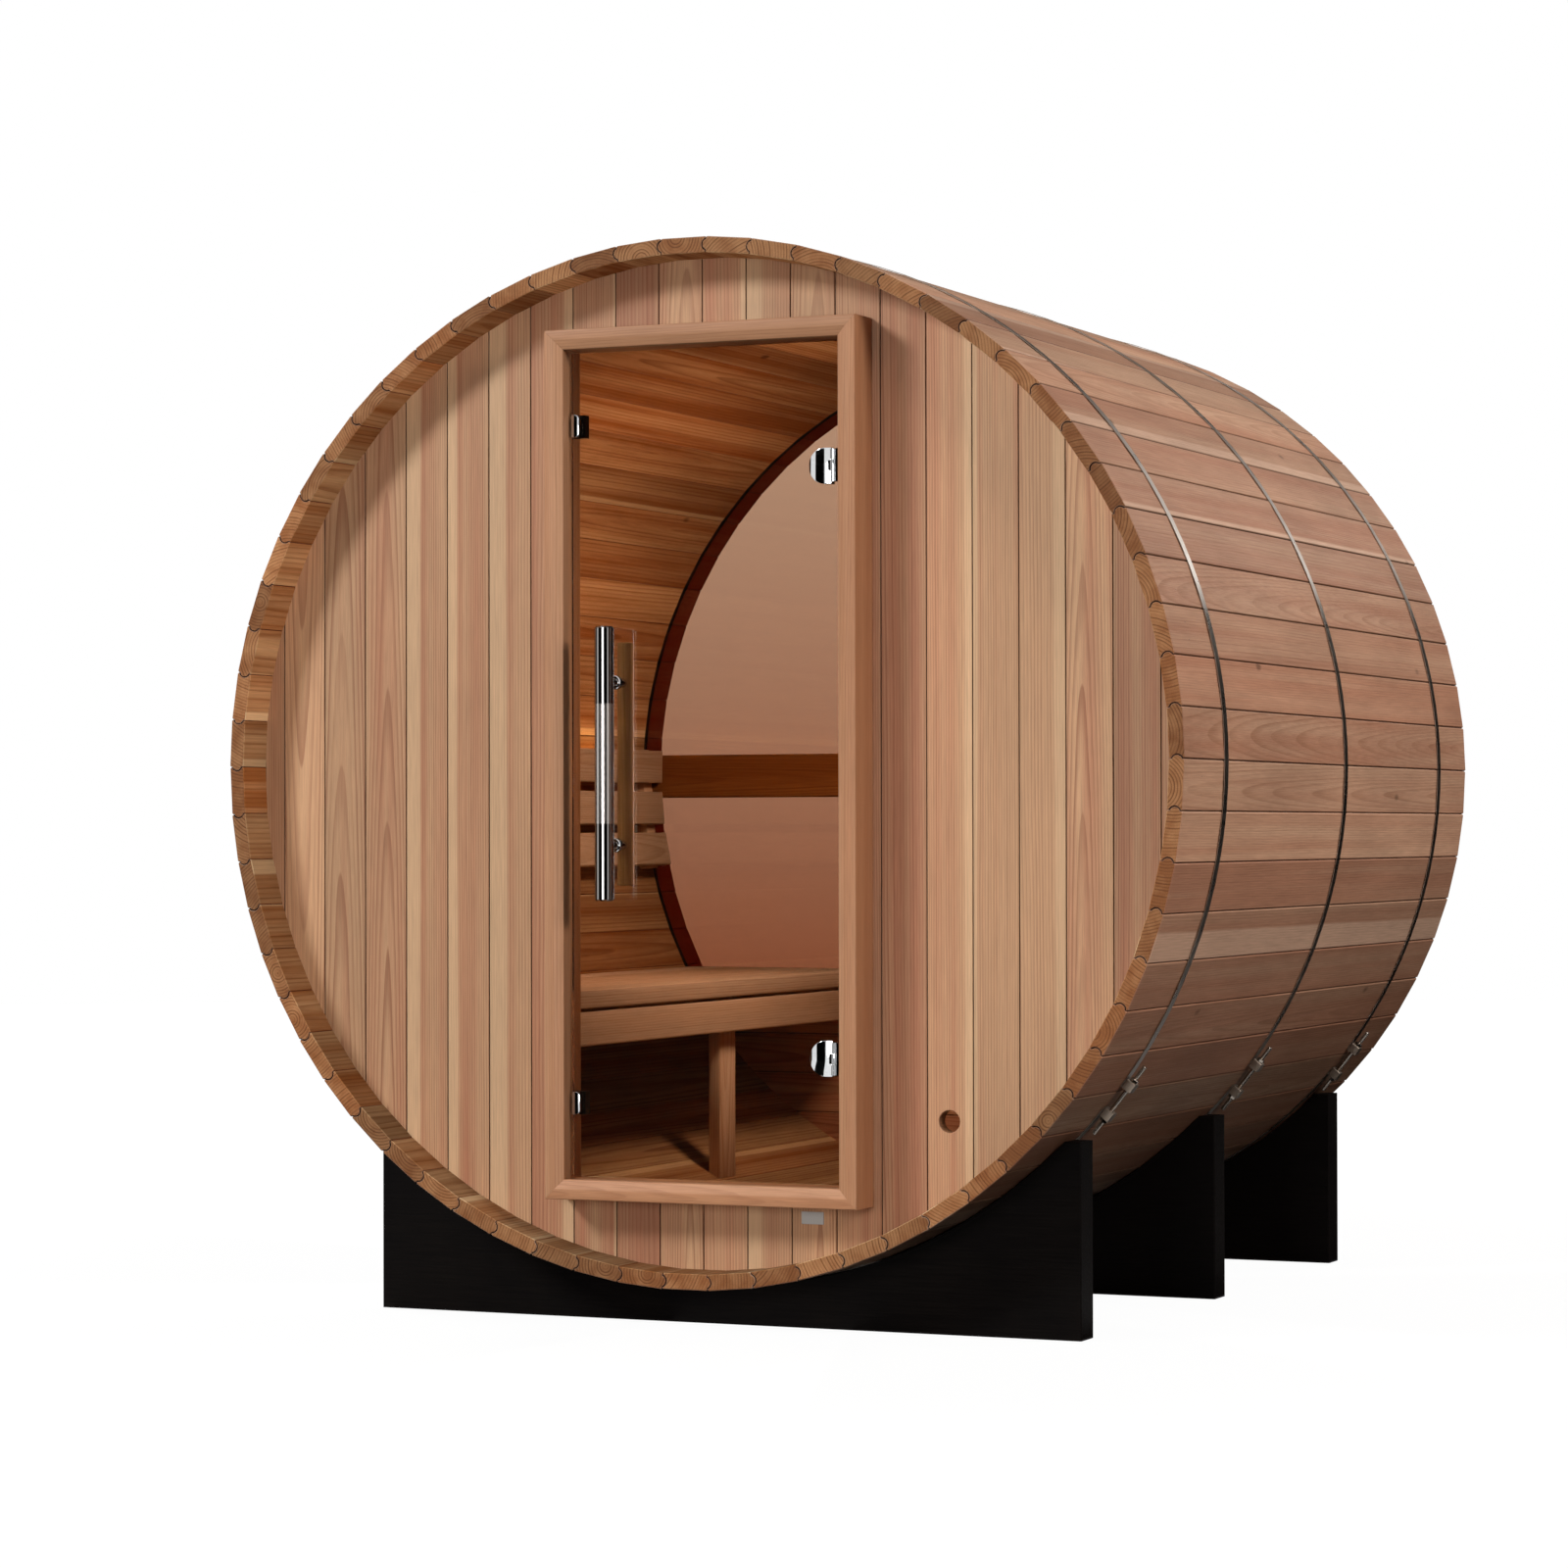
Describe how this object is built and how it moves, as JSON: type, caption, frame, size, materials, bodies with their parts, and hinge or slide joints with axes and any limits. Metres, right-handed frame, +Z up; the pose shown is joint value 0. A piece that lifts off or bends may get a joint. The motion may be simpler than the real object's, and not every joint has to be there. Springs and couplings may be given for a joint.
{
  "type": "barrel sauna",
  "caption": "Barrel sauna of bead-and-cove cedar staves on black cradles, with steel hoops, a hinged bronze glass door, a glazed rear end and a bench inside.",
  "frame": {"origin": "on the floor, on the centre line, under the middle of the middle cradle", "axes": "+X to the right seen from the front, +Y from the door into the barrel, +Z up"},
  "size_m": [1.8328, 1.785, 1.9035],
  "materials": {
    "cedar_staves": "planed, oiled",
    "cedar_wall_boards": "planed",
    "cedar_frame": "planed",
    "cedar_bench": "sanded",
    "wooden_grip": "sanded",
    "black_stained_cradles": "stained black",
    "stainless_hoops": "satin",
    "stainless_tensioners": "satin",
    "polished_chrome": "polished",
    "bronze_glass": "clear tinted",
    "black_magnets": "matt"
  },
  "bodies": {
    "barrel": {"staves_bottom": "cedar_staves", "staves_lower_right": "cedar_staves", "staves_upper_right": "cedar_staves", "staves_top": "cedar_staves", "staves_upper_left": "cedar_staves", "staves_lower_left": "cedar_staves", "band_front": "stainless_hoops", "band_middle": "stainless_hoops", "band_rear": "stainless_hoops", "tensioner_front": "stainless_tensioners", "tensioner_middle": "stainless_tensioners", "tensioner_rear": "stainless_tensioners", "saddle_front": "black_stained_cradles", "saddle_middle": "black_stained_cradles", "saddle_rear": "black_stained_cradles", "front_wall_left": "cedar_wall_boards", "front_wall_right": "cedar_wall_boards", "front_wall_head": "cedar_wall_boards", "front_wall_foot": "cedar_wall_boards", "frame_left": "cedar_frame", "frame_right": "cedar_frame", "frame_head": "cedar_frame", "frame_sill": "cedar_frame", "hinge_leaf_upper": "polished_chrome", "hinge_leaf_lower": "polished_chrome", "catch_magnets": "black_magnets", "rear_glass_upper": "bronze_glass", "rear_glass_lower": "bronze_glass", "rear_rail": "cedar_frame", "rear_foot": "cedar_wall_boards", "bench_seat": "cedar_bench", "bench_apron": "cedar_bench", "bench_bearers": "cedar_bench", "bench_post": "cedar_bench", "backrest_slats": "cedar_bench", "backrest_cleats": "cedar_bench"},
    "door": {"door_glass": "bronze_glass", "door_handle": "polished_chrome", "door_handle_inner": "wooden_grip", "hinge_clamp_upper": "polished_chrome", "hinge_clamp_lower": "polished_chrome", "catch_clips": "polished_chrome"}
  },
  "joints": [
    {"name": "door_hinge", "type": "hinge", "parent": "barrel", "child": "door", "pos_m": [0.2755, -0.872, 0.987], "axis": [0, 0, 1], "range_deg": [0, 100]}
  ]
}
